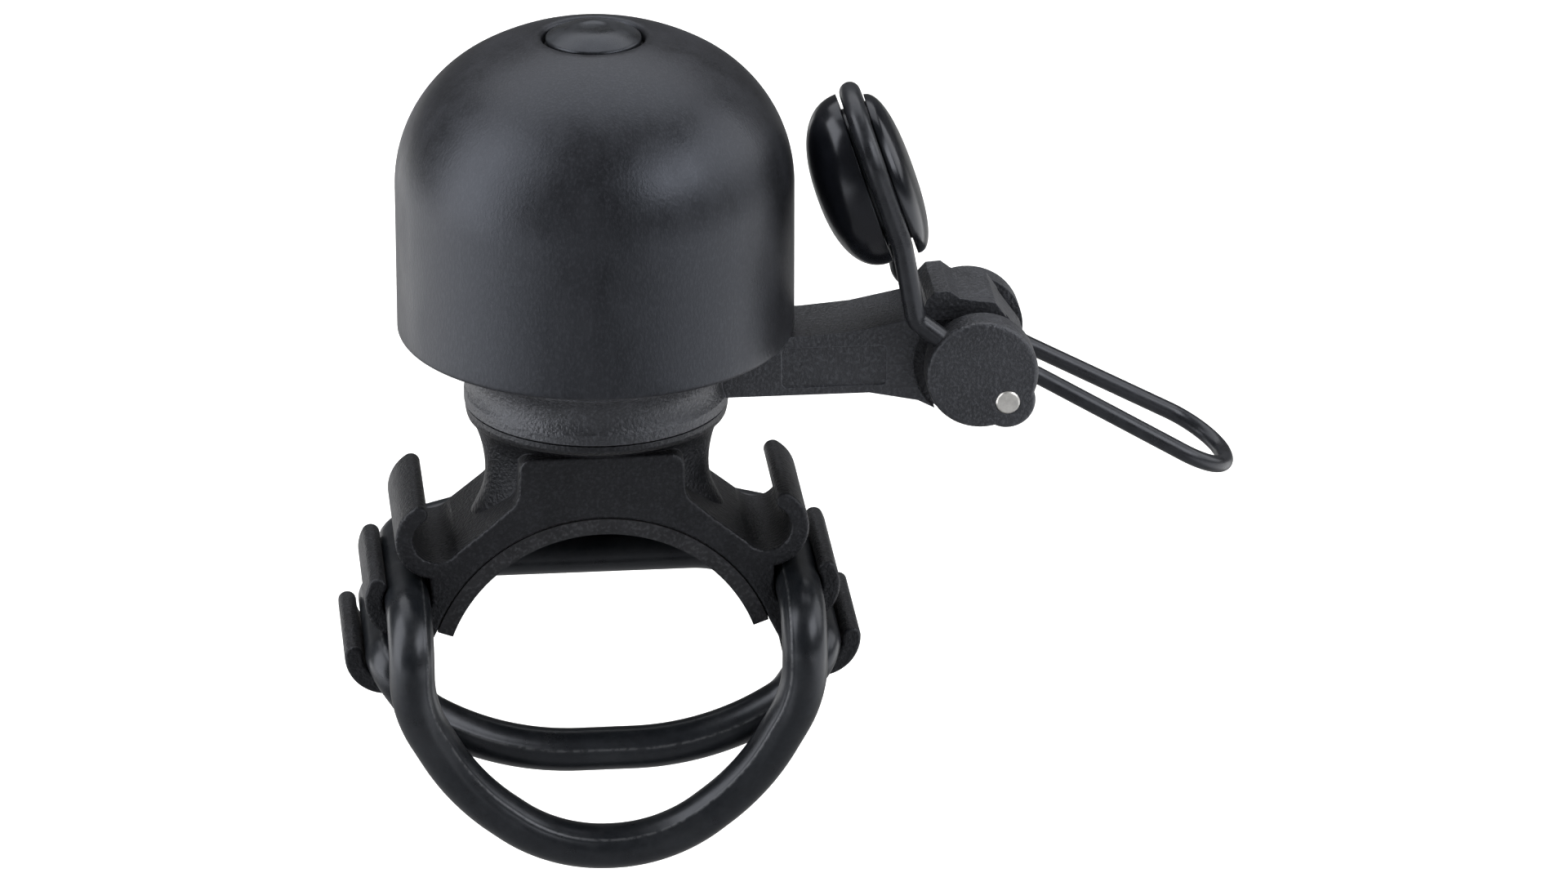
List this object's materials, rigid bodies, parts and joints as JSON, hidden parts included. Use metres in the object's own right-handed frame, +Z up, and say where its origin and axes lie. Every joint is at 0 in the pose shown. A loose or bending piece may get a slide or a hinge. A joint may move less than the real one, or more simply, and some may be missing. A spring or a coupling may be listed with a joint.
{
  "type": "bicycle bell",
  "caption": "Small domed bicycle bell with a sprung flick hammer on a wire finger lever, held to the handlebar by a hooked saddle and rubber rings.",
  "frame": {"origin": "on the handlebar's axis, at the middle of the saddle's depth", "axes": "+Y along the handlebar, +X towards the striker and its finger loop, +Z up through the gong"},
  "size_m": [0.0894, 0.039, 0.0838],
  "materials": {
    "gong": "satin black coating with a fine grain",
    "cap": "gloss black",
    "plastic": "fine spark-textured black moulding",
    "pad": "matte black anti-slip rubber",
    "ring": "smooth black rubber with a moulding seam",
    "hammer": "gloss black moulding",
    "wire": "black coated steel wire",
    "steel": "bare ground steel",
    "washer": "natural nylon"
  },
  "bodies": {
    "saddle": {"saddle": "plastic", "saddle_pad": "pad", "base_washer": "steel", "turn_washer": "washer"},
    "bell": {"dome": "gong", "cap_washer": "washer", "dome_screw": "cap", "top_washer": "washer", "dome_post": "steel", "base_screw": "steel", "striker_arm": "plastic", "pivot_pin": "steel", "pin_clip": "steel", "pivot_spacers": "steel", "return_spring": "steel"},
    "striker": {"cheek_front": "plastic", "cheek_rear": "plastic", "lever_loop": "wire", "hammer_strap": "wire", "hammer_face": "hammer", "hammer_back": "hammer", "hammer_core": "hammer"},
    "ring_large": {"ring_large": "ring"},
    "ring_small": {"ring_small": "ring"}
  },
  "joints": [
    {"name": "arm_turn", "type": "hinge", "parent": "saddle", "child": "bell", "pos_m": [0, 0, 0.03], "axis": [0, 0, 1], "range_deg": [-90, 90]},
    {"name": "striker_pivot", "type": "hinge", "parent": "bell", "child": "striker", "pos_m": [0.04, 0, 0.0288], "axis": [0, 1, 0], "range_deg": [-2.5, 30], "stiffness_Nm_per_rad": 0.05},
    {"name": "ring_large_pull", "type": "slide", "parent": "saddle", "child": "ring_large", "axis": [0, 0, -1], "range_m": [0, 0.031], "deforming": ["ring_large"]},
    {"name": "ring_small_pull", "type": "slide", "parent": "saddle", "child": "ring_small", "axis": [0, 0, -1], "range_m": [0, 0.031], "deforming": ["ring_small"]}
  ]
}
